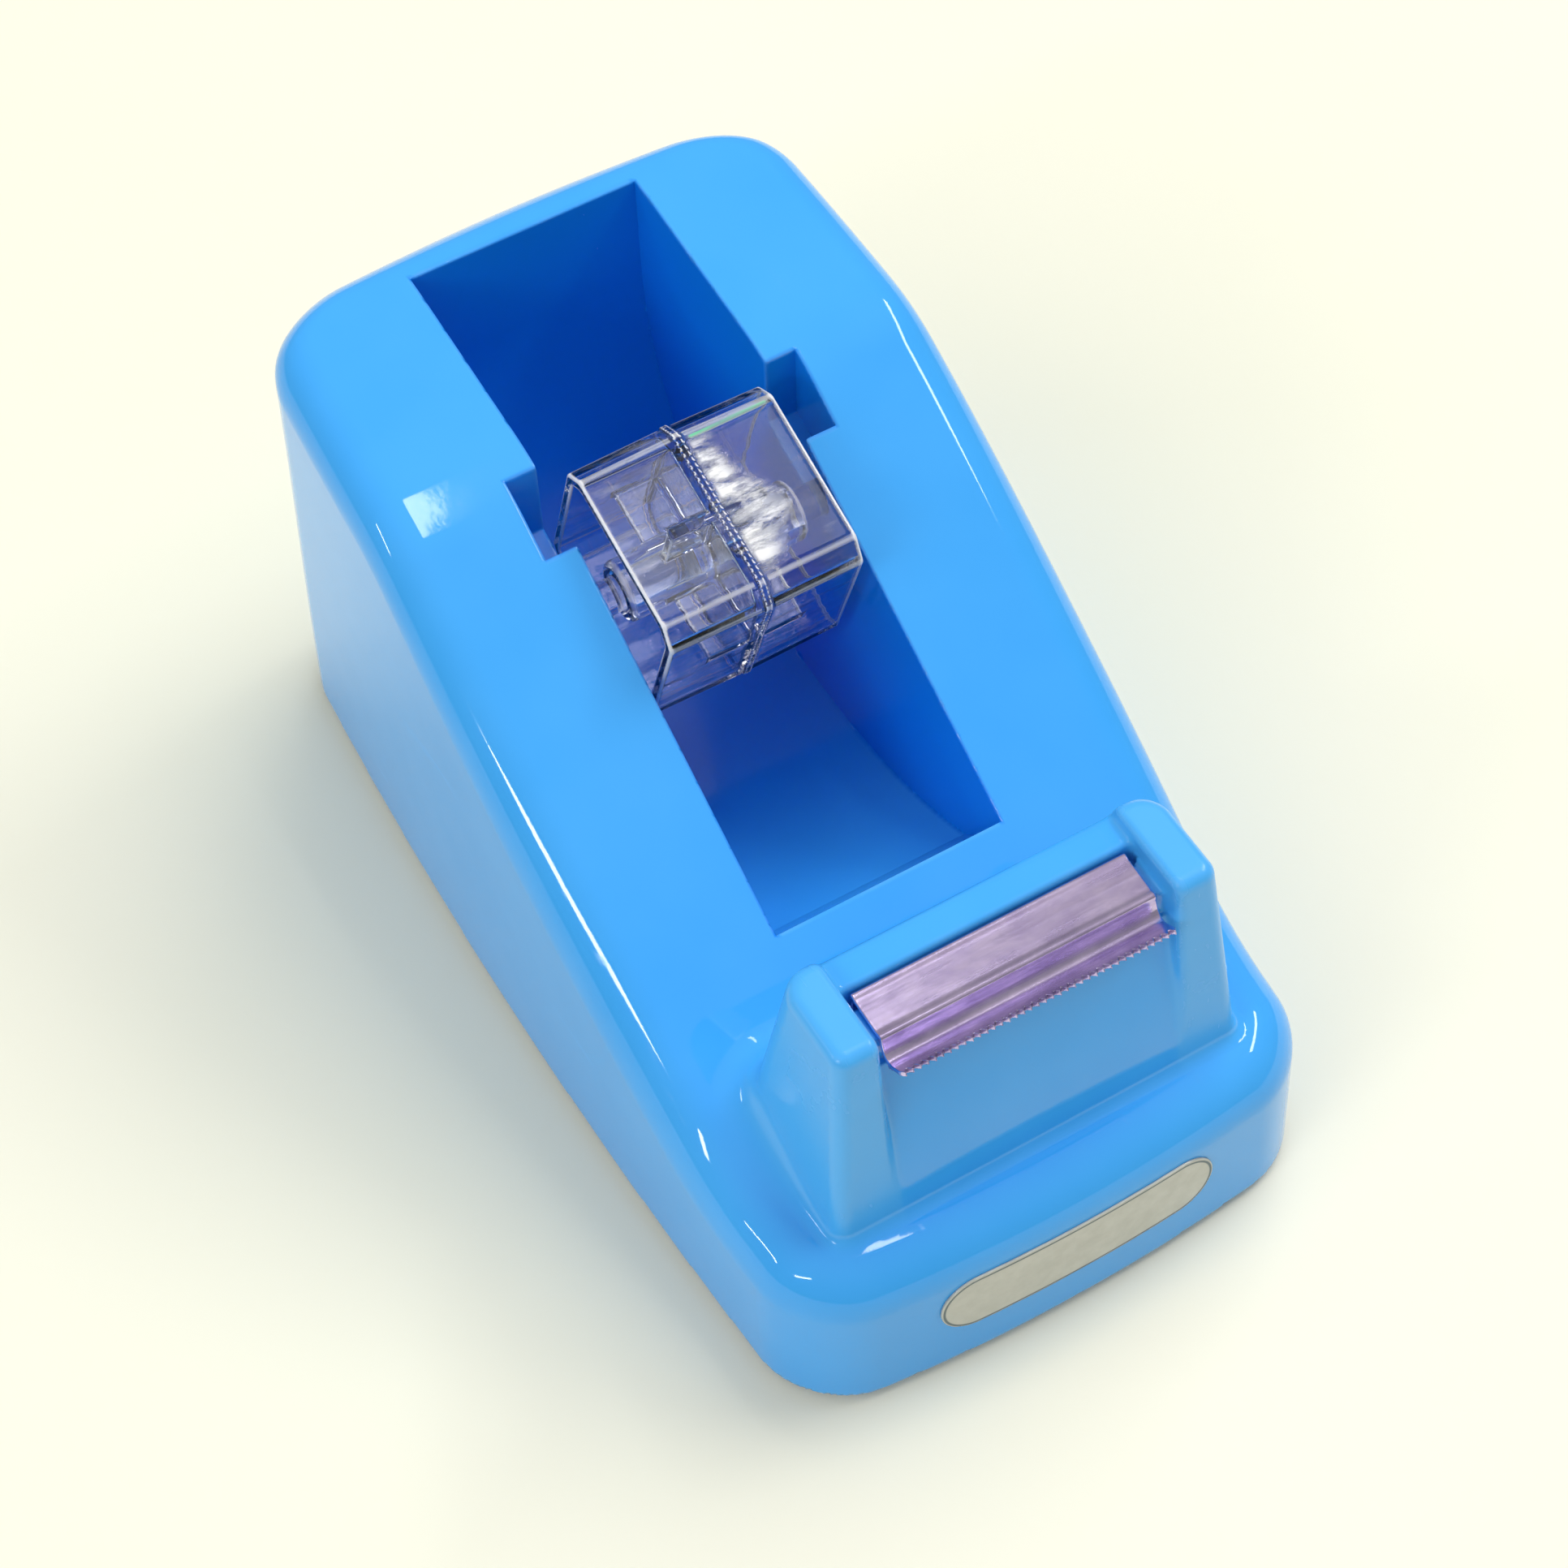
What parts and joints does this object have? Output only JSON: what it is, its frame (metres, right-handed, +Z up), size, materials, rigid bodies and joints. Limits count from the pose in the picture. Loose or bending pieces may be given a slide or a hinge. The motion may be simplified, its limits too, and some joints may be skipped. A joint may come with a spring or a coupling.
{
  "type": "desk tape dispenser",
  "caption": "Small weighted desk tape dispenser: a glossy blue wedge body with an open tape well, a lift-out clear hub on an axle, and a serrated steel cutter between two posts.",
  "frame": {"origin": "centre of the footprint, on the surface the dispenser stands on", "axes": "+X to the right across the body, +Y from the cutter towards the rear, +Z up"},
  "size_m": [0.0578, 0.1046, 0.052],
  "materials": {
    "body_plastic": "polished moulded ABS, sky blue",
    "base_plastic": "matt moulded plastic",
    "ballast": "rough as cast",
    "pad_foam": "closed-cell foam, matt",
    "screw_steel": "zinc plated",
    "blade_steel": "rolled steel, satin",
    "clear_plastic": "clear polystyrene",
    "plate_foil": "satin silver foil"
  },
  "bodies": {
    "body": {"body_shell": "body_plastic", "base_plate": "base_plastic", "ballast_block": "ballast", "foam_pad": "pad_foam", "base_screws": "screw_steel", "cutter_blade": "blade_steel", "front_plate": "plate_foil"},
    "axle": {"hub_axle": "clear_plastic"},
    "hub": {"hub_drum": "clear_plastic"}
  },
  "joints": [
    {"name": "hub_lift", "type": "slide", "parent": "body", "child": "axle", "axis": [0, 0.527, 0.8499], "range_m": [0, 0.03]},
    {"name": "hub_spin", "type": "hinge", "parent": "axle", "child": "hub", "pos_m": [0, 0.011, 0.0392], "axis": [1, 0, 0], "continuous": true}
  ]
}
